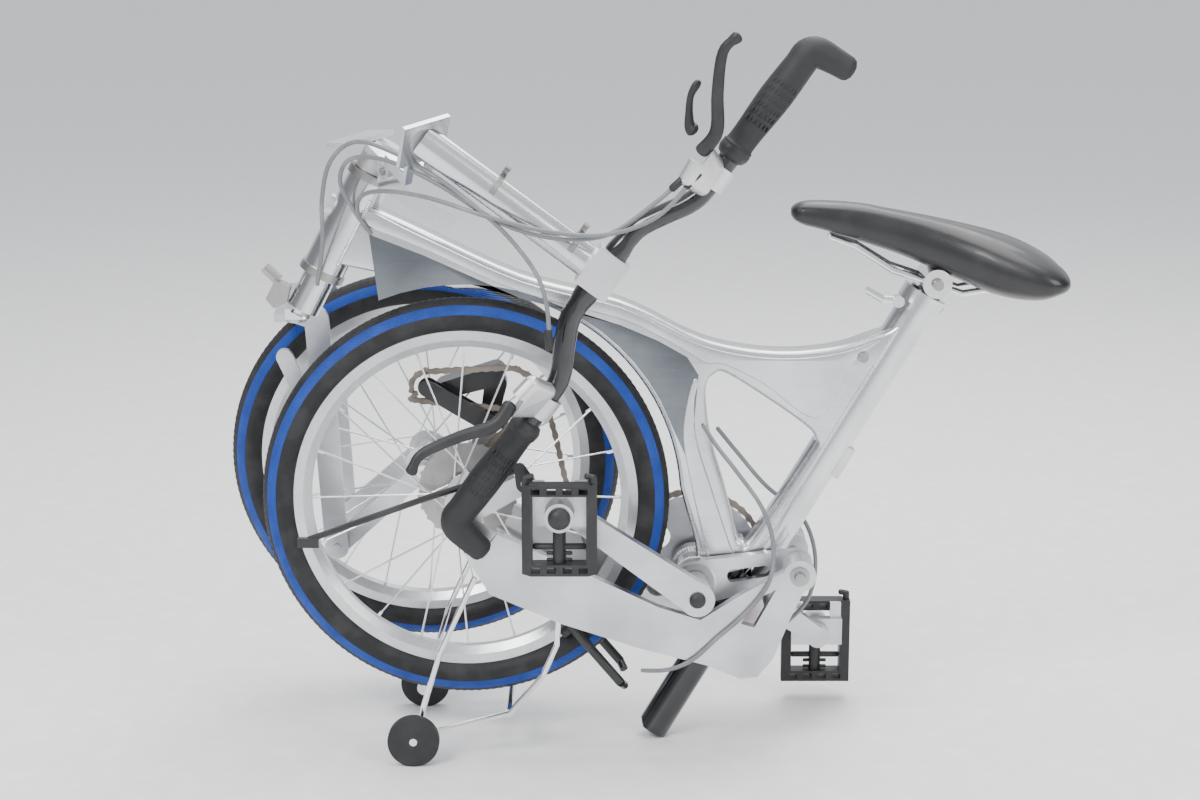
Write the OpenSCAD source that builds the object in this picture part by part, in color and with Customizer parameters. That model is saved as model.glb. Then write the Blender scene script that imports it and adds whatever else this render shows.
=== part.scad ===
// Folding bicycle, folded for carrying: the rear wheel is tucked under the frame,
// the front wheel lies beside it and the handlepost is folded down on the left.
// +X points to the back of the bicycle, +Y to its right, +Z up, z = 0 is the floor.

/* [Wheels] */
// Outer radius of both tyres
tyre_r = 214; // [212:0.5:215]
// Width of a tyre
tyre_w = 37; // [34:1:38]
// Height of the rear axle above the floor, folded
rear_axle_z = 266; // [265:0.5:267]
// Number of spokes in a wheel
spoke_count = 20; // [16:4:20]

/* [Frame] */
// Slope of the head tube from the floor, folded
head_angle = 62.3; // [62:0.1:62.6]
// Slope of the seat tube from the floor, folded
seat_angle = 59.5; // [59.3:0.1:59.7]
// Width of the pressed main frame
frame_w = 38; // [36:1:39]
// Wall of the pressed main frame
frame_wall = 2.5; // [2:0.5:3]

/* [Drive] */
// Crank length, centre to centre
crank_len = 172; // [168:1:174]
// Slope of the left crank, folded
crank_angle = 145; // [143:1:147]
// Radius of the chain round the chainring
chain_r = 77; // [75:0.5:78]

/* [Handlebar] */
// Length of the handlepost from its plate to the handlebar
post_len = 221; // [215:1:225]
// Half the width of the handlebar
bar_half = 296; // [290:1:300]
// Rise of the handlebar
bar_rise = 32; // [28:1:34]

/* [Saddle] */
// Length of the seat post
seat_post_len = 556; // [550:1:556]
// Outer radius of the seat post
seat_post_r = 16.95; // [16.9:0.01:16.95]

/* [Hidden] */
$fn = 48;
// The drawing is moved by this much, so that the origin is below the middle of the box
shift = [-29.68, -24.4, -1];
function unit(v) = v / norm(v);
rear_axle = [-141, 0, rear_axle_z];
pivot = [206, 0, 201];
bb = [100, 0, 182];
head_low = [-285, 0, 511];
head_dir = [cos(head_angle), 0, sin(head_angle)];
head_len = 104;
head_r = 22;
steerer_r = 14;
fit = 0.05;
seat_dir = [cos(seat_angle), 0, sin(seat_angle)];
seat_top = [329, 0, 472];
seat_tube_len = 300;
seat_tube_r = 20;
bb_r = 22;
bb_half = 34;
// The handlepost hinge runs diagonally across the steering axis
post_axis = unit(0.5175 * head_dir + 0.605 * [0, 1, 0] + 0.605 * [sin(head_angle), 0, -cos(head_angle)]);
post_fold = 125.3;
post_pin = [-205, -45, 621];
post_base = [-246, 0, 647];
plate_up = [-0.22, -0.05, 0.974];
plate_n = unit(plate_up - (plate_up * post_axis) * post_axis);
plate_y = 58;
plate_z = 32;
hinge_r = 4;
// The fork swings like a door about an upright pin on the right of the crown
fork_pin = [-322, 0, 452];
fork_pin_y = 58;
fork_lean = 3.5;
fork_origin = fork_pin + [0, fork_pin_y, 0];
front_axle = [-451.5, 0, 267];
link_pivot = [-354, 0, 178];
leg_top = [-342, 0, 443];
rim_r = 183;
rim_in = 163;
arm_in = 62;
arm_out = 74;
lug_in = 24;
lug_out = 35.5;
crank_in = 80;
crank_out = 94;
chain_y = 46;
left_pedal = bb + crank_len * [cos(crank_angle), 0, sin(crank_angle)];
right_pedal = bb - crank_len * [cos(crank_angle), 0, sin(crank_angle)];

// ---- helpers ----
module rod(p, q, r, r2 = -1) {
    d = q - p;
    len = norm(d);
    translate(p) rotate([0, acos(d.z / len), atan2(d.y, d.x)])
        cylinder(h = len, r1 = r, r2 = r2 < 0 ? r : r2);
}
// A round bar through a list of points, with mitred bends
function next_ring(pts, ring, i) = let (d = unit(pts[i] - pts[i - 1]),
    n = i == len(pts) - 1 ? d : unit(d + unit(pts[i + 1] - pts[i])))
    [for (q = ring) q + d * (((pts[i] - q) * n) / (d * n))];
function rings(pts, ring, i) = i == len(pts) ? [] :
    let (next = next_ring(pts, ring, i)) concat(next, rings(pts, next, i + 1));
module bent(pts, r, sides = 12) {
    d = unit(pts[1] - pts[0]);
    u = unit(cross(d, abs(d.z) < 0.9 ? [0, 0, 1] : [1, 0, 0]));
    v = cross(d, u);
    first = [for (j = [0 : sides - 1]) let (a = j * 360 / sides) pts[0] + r * (cos(a) * u + sin(a) * v)];
    last = (len(pts) - 1) * sides;
    polyhedron(points = concat(first, rings(pts, first, 1)), faces = concat(
        [[for (j = [0 : sides - 1]) j], [for (j = [sides - 1 : -1 : 0]) last + j]],
        [for (i = [0 : len(pts) - 2]) for (j = [0 : sides - 1]) let (k = (j + 1) % sides, o = i * sides)
            [o + j, o + sides + j, o + sides + k, o + k]]));
}
module side(y0, y1) { translate([0, y1, 0]) rotate([90, 0, 0]) linear_extrude(y1 - y0) children(); }
module disc(p, r, y0, y1) { translate([p.x, y1, p.z]) rotate([90, 0, 0]) cylinder(h = y1 - y0, r = r); }
module ring_y(p, r_out, r_in, y0, y1) {
    difference() {
        disc(p, r_out, y0, y1);
        disc(p, r_in, y0 - 1, y1 + 1);
    }
}
// Flat bar with round ends, in the X-Z plane
module strap(p, q, r1, r2) {
    d = [q.x - p.x, q.z - p.z];
    n = norm(d);
    a = atan2(d.y, d.x);
    b = acos((r1 - r2) / n);
    translate([p.x, p.z]) circle(r = r1);
    translate([q.x, q.z]) circle(r = r2);
    polygon([for (s = [1, -1]) [p.x + r1 * cos(a + s * b), p.z + r1 * sin(a + s * b)],
             for (s = [-1, 1]) [q.x + r2 * cos(a + s * b), q.z + r2 * sin(a + s * b)]]);
}
module frame_of(o, e1, e2, e3) {
    multmatrix([[e1.x, e2.x, e3.x, o.x], [e1.y, e2.y, e3.y, o.y], [e1.z, e2.z, e3.z, o.z]]) children();
}
// Steering frame: Z up the steering axis, X back, Y right
module head_space(o) { translate(o) rotate([0, 90 - head_angle, 0]) children(); }
// Hinge frame of the lower plate: X along the pin, Z out of the plate
module plate_space() { frame_of(post_pin, post_axis, cross(plate_n, post_axis), plate_n) children(); }
module folded() {
    translate(post_pin) rotate(a = post_fold, v = post_axis) translate(-post_pin) children();
}
module post_space() { folded() head_space(post_base) children(); }
// Seat tube frame: Z up the tube, X back
module seat_space() { translate(seat_top) rotate([0, 90 - seat_angle, 0]) children(); }
module pin_space() { translate(fork_origin) rotate([fork_lean, 0, 0]) children(); }
// The fork and front wheel are drawn as ridden, and turned half round about their pin
module fork_space() {
    fork_axis = [0, -sin(fork_lean), cos(fork_lean)];
    translate(fork_origin) rotate(a = 180, v = fork_axis) translate(-fork_origin) children();
}

// ---- frame ----
function arc_pts(c, r, a0, a1, n) = [for (i = [0 : n]) let (a = a0 + (a1 - a0) * i / n)
    [c.x + r * cos(a), c.z + r * sin(a)]];

module frame_outline() {
    polygon(concat([[-284, 520]], arc_pts(rear_axle, tyre_r + 11, 92, 4, 14),
        [[92, 250], [102, 212], [100, 182], [150, 190], [169, 200], [312, 443],
         [292, 446], [250, 432], [207, 426], [165, 427], [124, 434], [90, 446],
         [20, 480], [-82, 507], [-190, 557], [-247, 583]]));
}
module frame_window() {
    polygon([[110, 386], [119, 402], [132, 402], [176, 374], [216, 345], [224, 332], [220, 318],
             [160, 226], [151, 222], [144, 230], [131, 281], [116, 333]]);
}
module frame_hollow() {
    polygon(concat(arc_pts(rear_axle, tyre_r + 20, 92, 12, 12),
        [[101, 255], [112, 224], [130, 226], [120, 283], [105, 333], [98, 388], [110, 412],
         [90, 434], [20, 468], [-82, 495], [-190, 543], [-215, 548], [-205, 520]]));
}
module main_frame() color("silver") difference() {
    side(-frame_w / 2, frame_w / 2) difference() {
        frame_outline();
        frame_window();
    }
    side(-frame_w / 2 + frame_wall, frame_w / 2 - frame_wall) frame_hollow();
    rod(head_low - 40 * head_dir, head_low + (head_len + 40) * head_dir, head_r);
    rod(seat_top - (seat_tube_len + 60) * seat_dir, seat_top + 60 * seat_dir, seat_tube_r);
    disc(bb, bb_r, -bb_half - 5, bb_half + 5);
    side(-frame_w / 2 - 1, -frame_w / 2 + 10) strap([-243, 0, 543], [-228, 0, 553], 7, 7);
}
module head_tube() color("silver") head_space(head_low) difference() {
    cylinder(h = head_len, r = head_r);
    translate([0, 0, -1]) cylinder(h = head_len + 2, r = head_r - 3);
}
module headset_cups() color("dimgray") head_space(head_low) for (z = [-8, head_len])
    translate([0, 0, z]) difference() {
        cylinder(h = 8, r = head_r + 2);
        translate([0, 0, -1]) cylinder(h = 10, r = steerer_r + fit);
    }
module seat_tube() color("silver") difference() {
    rod(seat_top - seat_tube_len * seat_dir, seat_top, seat_tube_r);
    rod(seat_top - (seat_tube_len + 5) * seat_dir, seat_top + 5 * seat_dir, 17);
    disc(bb, bb_r, -bb_half, bb_half);
}
module bb_shell() color("silver") ring_y(bb, bb_r, 17, -bb_half, bb_half);
module bb_cartridge() color("dimgray") difference() {
    union() {
        disc(bb, 17, -bb_half, bb_half);
        disc(bb, 20, bb_half, bb_half + 2.5);
        disc(bb, 20, -bb_half - 2.5, -bb_half);
    }
    disc(bb, 8 + fit, -bb_half - 5, bb_half + 5);
}
module pivot_lugs() color("silver") for (s = [-1, 1]) difference() {
    side(s > 0 ? lug_in : -lug_out, s > 0 ? lug_out : -lug_in) difference() {
        strap(bb, pivot, 24, 17);
        strap([140, 0, 190], [172, 0, 195], 7, 6);
    }
    disc(bb, bb_r, -bb_half - 4, bb_half + 4);
    disc(pivot, 5.05, -60, 60);
}
// Rear stop with its screw, the round plate on the head tube and a frame screw
module frame_fittings() {
    color("silver") seat_space() difference() {
        translate([10, -12, -199]) cube([14.2, 24, 35]);
        translate([0, 0, -210]) cylinder(h = 60, r = seat_tube_r);
    }
    color("silver") head_space(head_low) difference() {
        translate([-head_r - 4, 0, 62]) rotate([0, 90, 0]) cylinder(h = 12, r = 12);
        translate([0, 0, 40]) cylinder(h = 50, r = head_r);
    }
    color("black") disc([272, 0, 421], 5, -frame_w / 2 - 3, -frame_w / 2);
}
module seat_clamp() color("silver") difference() {
    union() {
        rod(seat_top, seat_top + 15.5 * seat_dir, 24);
        rod(seat_top + [20, -9, -2], seat_top + [20, 9, -2] , 6);
    }
    rod(seat_top - 5 * seat_dir, seat_top + 25 * seat_dir, 17.3);
}
module seat_clamp_lever() color("silver") {
    bent([seat_top + [-24, -30, 10], seat_top + [-40, -32, 12], seat_top + [-58, -30, 22]], 4);
    rod(seat_top + [-24, -36, 10], seat_top + [-24, -24, 10], 6);
}

// ---- steering ----
module steerer() color("gainsboro") head_space(head_low) translate([0, 0, -48])
    cylinder(h = 48 + head_len + 26, r = steerer_r);
module crown() color("silver") difference() {
    union() {
        head_space(head_low) translate([0, 0, -48]) cylinder(h = 39, r = 17);
        pin_space() translate([0, 0, 5.5]) linear_extrude(11) {
            translate([0, 0]) circle(r = 11);
            polygon([[-11, 0], [11, 0], [20, -48], [-6, -48]]);
        }
    }
    head_space(head_low) translate([0, 0, -60]) cylinder(h = 120, r = steerer_r);
    pin_space() cylinder(h = 60, r = 5, center = true);
}
// Front hook that locks the fork when it is ridden
module crown_latch() {
    color("tan") side(-9, 9) polygon([[-335, 500], [-319.5, 492], [-323.5, 476], [-337, 470], [-345, 480]]);
    color("black") rod([-346, 0, 512], [-332, 0, 498], 6);
}
module hinge_base() color("silver") {
    difference() {
        head_space(head_low) translate([0, 0, head_len + 8.5]) cylinder(h = 34, r = 19);
        head_space(head_low) translate([0, 0, head_len]) cylinder(h = 26, r = steerer_r);
        plate_space() translate([-60, -20, plate_z - 5]) cube([120, 140, 60]);
        plate_space() rotate([0, 90, 0]) cylinder(h = 80, r = 10, center = true);
    }
    plate_space() {
        translate([-27, plate_y - 24, plate_z - 5]) cube([54, 48, 5]);
        difference() {
            union() {
                translate([-6.5, 4, -8]) rotate([35, 0, 0]) cube([13, 46, 10]);
                rotate([0, 90, 0]) cylinder(h = 13, r = 9, center = true);
            }
            rotate([0, 90, 0]) cylinder(h = 40, r = hinge_r, center = true);
            translate([-60, plate_y - 24, plate_z - 5]) cube([120, 48, 60]);
        }
    }
}
module hinge_pin() color("dimgray") plate_space() rotate([0, 90, 0])
    cylinder(h = 36, r = hinge_r, center = true);
module latch_lever() color("silver") {
    side(-34, -28) {
        strap([-216, 0, 606], [-164, 0, 560], 9, 5);
        strap([-184, 0, 584], [-150, 0, 566], 5, 4);
        strap([-164, 0, 560], [-150, 0, 566], 5, 4);
    }
    rod([-216, -28, 606], [-216, -20, 606], 5);
}

// ---- handlepost and handlebar, drawn upright and folded over ----
module post_hinge_part() folded() plate_space() difference() {
    union() {
        translate([-27, plate_y - 24, plate_z + 0.3]) cube([54, 48, 5]);
        for (s = [-1, 1]) {
            translate([s * 12 - 4.5, 22, plate_z + 0.3]) cube([9, 14, 5]);
            translate([s * 12 - 4.5, 9, 6]) rotate([0, 0, 0]) cube([9, 13, plate_z - 0.7]);
            translate([s * 12 - 4.5, 0, 0]) rotate([0, 90, 0]) cylinder(h = 9, r = 9);
            translate([s * 12 - 4.5, 0, 0]) cube([9, 22, 9]);
        }
    }
    rotate([0, 90, 0]) cylinder(h = 60, r = hinge_r + fit, center = true);
}
module handlepost() color("silver") {
    post_hinge_part();
    difference() {
        post_space() cylinder(h = post_len - 21, r = 17);
        folded() plate_space() translate([-80, -40, plate_z - 94.7]) cube([160, 200, 100]);
    }
}
module bar_clamp() color("silver") post_space() difference() {
    union() {
        translate([0, 0, post_len - 21]) cylinder(h = 10, r = 17);
        translate([-17, -22, post_len - 18]) cube([34, 44, 36]);
    }
    translate([0, 0, post_len]) rotate([90, 0, 0]) cylinder(h = 80, r = 13, center = true);
}
function bar_side(s) = [[0, 0, post_len], [0, s * 52, post_len], [0, s * 64, post_len + 3],
    [-2, s * 108, post_len + bar_rise - 4], [-2, s * 124, post_len + bar_rise],
    [0, s * bar_half, post_len + bar_rise]];
bar_line = concat([for (i = [5 : -1 : 1]) bar_side(-1)[i]], [for (i = [1 : 5]) bar_side(1)[i]]);
module handlebar() color("black") post_space() {
    bent(bar_line, 11);
    translate([0, 0, post_len]) rotate([90, 0, 0]) cylinder(h = 60, r = 13, center = true);
}
// Grip with a horn at its end for the thumb
module grip(s) color([0.12, 0.12, 0.13]) post_space() difference() {
    bar_z = post_len + bar_rise;
    horn_base = [0, s * (bar_half - 10), bar_z];
    horn_top = [0, s * (bar_half + 8), bar_z + 44];
    union() {
        bent([[0, s * 176, bar_z], [0, s * (bar_half + 7), bar_z]], 16, 24);
        bent([horn_base, horn_top + [0, 0, 5]], 13, 18);
    }
    bent(bar_line, 11);
}
module right_grip() grip(1);
module left_grip() grip(-1);
module lever_body(s) color("gainsboro") post_space() difference() {
    union() {
        rod([-1.7, s * 132, post_len + bar_rise], [-1.5, s * 156, post_len + bar_rise], 15);
        hull() {
            translate([-30, s * 128, post_len + 8]) sphere(r = 9, $fn = 20);
            translate([-12, s * 128, post_len + 26]) sphere(r = 9, $fn = 20);
            translate([-34, s * 160, post_len + 4]) sphere(r = 9, $fn = 20);
            translate([-12, s * 152, post_len + 24]) sphere(r = 9, $fn = 20);
        }
    }
    bent(bar_line, 11);
    translate([-46, s > 0 ? 145 : -178, post_len - 5]) cube([30, 33, 16]);
}
module right_lever_body() lever_body(1);
module left_lever_body() lever_body(-1);
module brake_lever(s) color([0.15, 0.15, 0.16]) post_space() {
    translate([0, 0, post_len - 1.2]) linear_extrude(6.4)
        strap2([-34, s * 158], [-38, s * 182], 8, 5);
    bent([[-38, s * 180, post_len + 2], [-44, s * 214, post_len - 22], [-52, s * 248, post_len - 40],
          [-54, s * 264, post_len - 38]], 4.6);
    rod([-53, s * 258, post_len - 40], [-54, s * 268, post_len - 38], 6);
}
module strap2(p, q, r1, r2) { strap([p.x, 0, p.y], [q.x, 0, q.y], r1, r2); }
module right_brake_lever() brake_lever(1);
module left_brake_lever() brake_lever(-1);
module shift_lever() color([0.15, 0.15, 0.16]) post_space() {
    rod([-24, 170, post_len - 26], [-24, 170, post_len - 16], 8);
    bent([[-24, 170, post_len - 23], [-28, 192, post_len - 37], [-30, 208, post_len - 40]], 4);
}
// S-shaped wire hooks that carry the cables along the post
module cable_hooks() color("gray") post_space() for (z = [82, 178])
    translate([0, 0, z]) {
        difference() {
            cylinder(h = 6, r = 20);
            translate([0, 0, -1]) cylinder(h = 8, r = 17);
            translate([-30, -60, -1]) cube([60, 60, 8]);
        }
        translate([0, 24, 0]) difference() {
            cylinder(h = 6, r = 7);
            translate([0, 0, -1]) cylinder(h = 8, r = 4);
            translate([-10, -4, -1]) cube([10, 8, 8]);
            translate([0, -24, -1]) cylinder(h = 8, r = 17);
        }
    }

// ---- fork and front wheel, drawn as ridden ----
module fork() color("silver") {
    pin_space() {
        translate([0, 0, -8]) cylinder(h = 13, r = 11);
        translate([0, 0, 5]) cylinder(h = 12, r = 5 - fit);
        translate([0, 0, 17]) cylinder(h = 4, r = 9);
    }
    fork_space() {
        translate([-320, -51, 443]) cube([22, 112, 9]);
        for (s = [-1, 1]) difference() {
            side(s > 0 ? 45 : -51, s > 0 ? 51 : -45) {
                strap(leg_top, link_pivot, 13, 13);
                strap(leg_top, [-309, 0, 447], 12, 5);
                strap([-346, 0, 300], [-306, 0, 400], 8, 9);
            }
            disc(link_pivot, 5, -60, 60);
        }
    }
}
module fork_links() color("silver") fork_space() for (s = [-1, 1]) difference() {
    union() {
        side(s > 0 ? 37 : -43, s > 0 ? 43 : -37) strap(link_pivot, front_axle, 12, 10);
        disc(link_pivot, 9, s > 0 ? 43 : -45, s > 0 ? 45 : -43);
        disc(link_pivot, 5, s > 0 ? 45 : -53, s > 0 ? 53 : -45);
    }
    disc(front_axle, 4.5, -60, 60);
}
module front_axle_bolt() color("gray") fork_space() {
    disc(front_axle, 4.5, -48, 48);
    disc(front_axle, 8, 43, 49);
    disc(front_axle, 8, -49, -43);
}
module hub_shell(p, half, y1, y2) difference() {
    union() {
        disc(p, 12, -half, half);
        disc(p, 21, y1 - 3, y1);
        disc(p, 21, y2, y2 + 3);
    }
    disc(p, 4.5 + fit, -half - 1, half + 1);
}
module rim_at(p) translate(p) rotate([90, 0, 0]) rotate_extrude($fn = 96) difference() {
    polygon([[rim_in, -5], [rim_in, 5], [rim_in + 8, 11], [rim_r, 11], [rim_r, -11], [rim_in + 8, -11]]);
    polygon([[rim_in + 3, -3], [rim_in + 3, 3], [rim_in + 9, 9], [rim_r - 5, 9], [rim_r - 5, -9],
             [rim_in + 9, -9]]);
}
module tyre_at(p) translate(p) rotate([90, 0, 0]) rotate_extrude($fn = 96) difference() {
    translate([tyre_r - tyre_w / 2, 0]) circle(r = tyre_w / 2);
    translate([tyre_r - tyre_w / 2, 0]) circle(r = tyre_w / 2 - 3.5);
    translate([rim_in, -11]) square([rim_r - rim_in, 22]);
}
// Spokes stop just short of the rim and the hub flange
module spokes_at(p, y1, y2) for (i = [0 : spoke_count - 1]) {
    a = i * 360 / spoke_count;
    b = a + (i % 4 < 2 ? 40 : -40);
    y = i % 2 == 0 ? y1 - 1.5 : y2 + 1.5;
    rod(p + [21.3 * cos(b), y, 21.3 * sin(b)], p + [(rim_in - 0.2) * cos(a), y > 0 ? 1.5 : -1.5, (rim_in - 0.2) * sin(a)], 1);
}
module front_hub() color("dimgray") fork_space() hub_shell(front_axle, 35.5, -24, 24);
module front_rim() color("gray") fork_space() rim_at(front_axle);
module front_tyre() color([0.13, 0.13, 0.13]) fork_space() tyre_at(front_axle);
module front_spokes() color("lightgray") fork_space() spokes_at(front_axle, -24, 24);

// ---- rear swingarm ----
module arm_outline() difference() {
    union() {
        polygon([[204, 208], [192, 207], [147, 182], [104, 154], [60, 168], [23, 186], [-40, 216],
                 [-113, 250], [-138, 270], [-150, 260], [-144, 232], [-114, 182], [-40, 150], [42, 123],
                 [110, 105], [146, 90], [164, 92], [180, 112], [198, 158], [214, 192]]);
        translate([pivot.x, pivot.z]) circle(r = 17);
        translate([rear_axle.x, rear_axle.z]) circle(r = 15);
    }
    polygon([[182, 187], [160, 146], [146, 150], [160, 176]]);
}
dropout_in = 65;
dropout_out = 71;
module arm_side(s) {
    side(s > 0 ? arm_in : -arm_out, s > 0 ? arm_out : -arm_in) difference() {
        arm_outline();
        translate([rear_axle.x, rear_axle.z]) circle(r = 40);
    }
    side(s > 0 ? dropout_in : -dropout_out, s > 0 ? dropout_out : -dropout_in) difference() {
        union() {
            intersection() {
                arm_outline();
                translate([rear_axle.x, rear_axle.z]) circle(r = 42);
            }
            if (s < 0) strap(rear_axle, stand_pin, 13, 10);
            else strap(rear_axle, hanger, 13, 11);
        }
        translate([rear_axle.x, rear_axle.z]) circle(r = 4.5);
        if (s > 0) translate([hanger.x, hanger.z]) circle(r = 5);
    }
    disc(pivot, 16, s > 0 ? 36 : -arm_in - 1, s > 0 ? arm_in + 1 : -36);
}
stand_pin = [-76, 0, 300];
hanger = [-122, 0, 322];
bridge = [150, 0, 100];
module swingarm() color([0.45, 0.47, 0.5]) difference() {
    union() {
        for (s = [-1, 1]) arm_side(s);
        disc(bridge, 7, -arm_in - 2, arm_in + 2);
        disc([182, 0, 140], 6, -arm_in - 2, arm_in + 2);
        disc(stand_pin, 5, -75, -dropout_in - 1);
    }
    disc(pivot, 5, -80, 80);
}
// Stub bolts held in the swingarm, turning in the frame lugs
module pivot_bolts() color("dimgray") for (s = [-1, 1]) {
    disc(pivot, 5, s > 0 ? lug_in : -arm_out, s > 0 ? arm_out : -lug_in);
    disc(pivot, 10, s > 0 ? arm_out : -arm_out - 3, s > 0 ? arm_out + 3 : -arm_out);
}
module rubber_buffer() color([0.75, 0.35, 0.3]) rod(bridge + 7 * [0.937, 0, -0.35], bridge + 24 * [0.937, 0, -0.35], 15);
brake_hinge = [-39, 0, 145];
brake_axis = unit([0.766, 0, 0.643]);
module rear_brake(s) {
    color([0.2, 0.2, 0.21]) difference() {
        union() {
            rod([-39, s * 35, 145] - 6 * brake_axis, [-39, s * 35, 145] + 6 * brake_axis, 8);
            rod([-39, s * 35, 145], [22, s * 35, 72], 5);
            rod([22, s * 35, 72], [26, s * 26, 66], 4.5);
        }
        rod([-39, s * 35, 145] - 20 * brake_axis, [-39, s * 35, 145] + 20 * brake_axis, 4 + fit);
    }
    color([0.12, 0.12, 0.12]) {
        rod([-28, s * 31, 131], [-28, s * 24, 131], 4);
        rod([-40, s * 19.5, 121], [-18, s * 19.5, 141], 6);
        rod([-28, s * 24, 131], [-28, s * 21, 131], 3);
    }
}
module rear_brake_left() rear_brake(-1);
module rear_brake_right() rear_brake(1);
module caster_frame() color([0.2, 0.2, 0.21]) {
    for (s = [-1, 1]) {
        bent([[-129, s * 77, 201], [-166, s * 77, 120], [-184, s * 77, 60], [-189, s * 77, 34]], 3);
        bent([[-42, s * 59, 170], [-45, s * 59, 122], [-60, s * 59, 88], [-95, s * 62, 48], [-168, s * 74, 33],
              [-189, s * 77, 33]], 3);
        rod([-39, s * 35, 145] + 13 * brake_axis, [-39, s * 62, 145] + 13 * brake_axis, 4);
        rod([-39, s * 35, 145] - 9 * brake_axis, [-39, s * 35, 145] + 17 * brake_axis, 4);
        rod([-194, s * 77, 28], [-194, s * 96, 28], 4);
        rod([-194, s * 70, 28], [-194, s * 84, 28], 8);
    }
    rod([-95, -62, 48], [-95, 62, 48], 4);
}
module caster(s) color([0.16, 0.16, 0.17]) difference() {
    disc([-194, 0, 28], 27, s > 0 ? 86 : -95, s > 0 ? 95 : -86);
    disc([-194, 0, 28], 4.08, -120, 120);
}
module casters() for (s = [-1, 1]) caster(s);
module kickstand() color([0.15, 0.15, 0.16]) {
    side(-75, -dropout_out - 0.3) difference() {
        strap(stand_pin, [-82, 0, 316], 10, 6);
        translate([stand_pin.x, stand_pin.z]) circle(r = 5 + fit);
    }
    bent([[-80, -71.6, 315.5], [-133, -71.6, 299], [-179, -71.6, 284], [-300, -71.6, 240]], 3.4);
    translate([-311, -75, 232]) cube([22, 6.8, 10]);
}
module rear_axle_bolt() color("gray") {
    disc(rear_axle, 4.5, -75, 75);
    disc(rear_axle, 9, 71, 76.5);
    disc(rear_axle, 9, -75.5, -71);
    disc(rear_axle, 9, -65, -62);
    disc(rear_axle, 9, 62, 65);
}
module derailleur() color([0.15, 0.15, 0.16]) {
    side(dropout_out, 90) strap(hanger, [-112, 0, 372], 9, 12);
    disc(hanger, 5, dropout_in, dropout_out + 2);
    side(56, 92) strap([-112, 0, 384], [-168, 0, 368], 11, 9);
}
guide_pulley = [-118, 0, 336];
tension_pulley = [-183, 0, 374];
module derailleur_cage() color([0.4, 0.4, 0.42]) {
    for (y = [38, 53]) side(y, y + 2.5) strap(guide_pulley, tension_pulley, 10, 9);
    for (p = [guide_pulley, tension_pulley]) {
        disc(p, 10.8, 46, 48);
        disc(p, 4, 38, 55.5);
    }
    disc([-150, 0, 355], 4, 53, 55.7);
}
module rear_hub() color("dimgray") hub_shell(rear_axle, 61.5, -34, 18);
module rear_rim() color("gray") rim_at(rear_axle);
module rear_tyre() color([0.13, 0.13, 0.13]) tyre_at(rear_axle);
module rear_spokes() color("lightgray") spokes_at(rear_axle, -34, 18);
module cassette() color("gray") difference() {
    union() {
        for (i = [0 : 7]) disc(rear_axle, 52 - i * 32 / 7, 26 + 4 * i, 28 + 4 * i);
        disc(rear_axle, 17, 24, 58);
    }
    disc(rear_axle, 12, 0, 80);
}

// ---- saddle ----
post_foot = seat_top - 538 * seat_dir;
module seat_post() color("silver") difference() {
    rod(post_foot, post_foot + seat_post_len * seat_dir, seat_post_r);
    rod(post_foot - seat_dir, post_foot + (seat_post_len - 20) * seat_dir, seat_post_r - 2.5);
    translate(post_foot) rotate([0, 90 - seat_angle, 0]) translate([-seat_post_r, 0, 0]) rotate([0, 45, 0])
        cube([8, 60, 8], center = true);
    // Foot ground flat where it stands on the floor
    translate([post_foot.x - 40, -40, 1 - 20]) cube([80, 80, 20]);
}
rail_pts = [[236, 545], [262, 536], [300, 512], [372, 488], [398, 492], [414, 510]];
module saddle_rails() color("gainsboro") {
    for (s = [-1, 1]) bent([for (i = [0 : 5]) [rail_pts[i].x, s * (i < 2 ? 10 + 6 * i : 20), rail_pts[i].y]], 3.5);
    difference() {
        union() {
            rod([345, -30, 499], [345, 30, 499], 15);
            rod([345, -35, 499], [345, 35, 499], 5);
        }
        rod(post_foot, post_foot + seat_post_len * seat_dir, seat_post_r);
    }
}
module saddle() color([0.14, 0.14, 0.15]) {
    hull() {
        for (s = [-1, 1]) {
            translate([212, s * 9, 566]) sphere(r = 8, $fn = 24);
            translate([255, s * 15, 560]) sphere(r = 13, $fn = 24);
            translate([330, s * 22, 546]) sphere(r = 14, $fn = 24);
        }
    }
    hull() {
        for (s = [-1, 1]) {
            translate([330, s * 22, 546]) sphere(r = 14, $fn = 24);
            translate([400, s * 56, 524]) sphere(r = 16, $fn = 24);
            translate([450, s * 62, 508]) sphere(r = 16, $fn = 24);
            translate([448, s * 30, 500]) sphere(r = 14, $fn = 24);
        }
    }
}

// ---- cranks, pedals and chain ----
module crank_arm(p, y0, y1) side(y0, y1) {
    strap(bb, p, 17, 10.5);
    translate([bb.x, bb.z]) circle(r = 18);
    translate([p.x, p.z]) circle(r = 12);
}
module crankset() color([0.16, 0.16, 0.17]) {
    disc(bb, 8, -bb_half - 6, bb_half + 6);
    crank_arm(left_pedal, -crank_out, -crank_in);
    crank_arm(right_pedal, crank_in, crank_out);
    disc(bb, 14, -crank_in - 2, -bb_half - 4);
    disc(bb, 16, bb_half + 4, crank_in + 2);
    difference() {
        disc(bb, chain_r - 4.5, 46, 48);
        for (i = [0 : 4]) translate(bb + 46 * [cos(i * 72), 0, sin(i * 72)]) rotate([90, 0, 0])
            cylinder(h = 120, r = 13, center = true);
    }
    disc(left_pedal, 6, -99, -crank_in - 4);
    disc(left_pedal, 4, -133, -97);
    disc(right_pedal, 6, crank_in + 4, 99);
    disc(right_pedal, 4, 97, 133);
}
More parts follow.
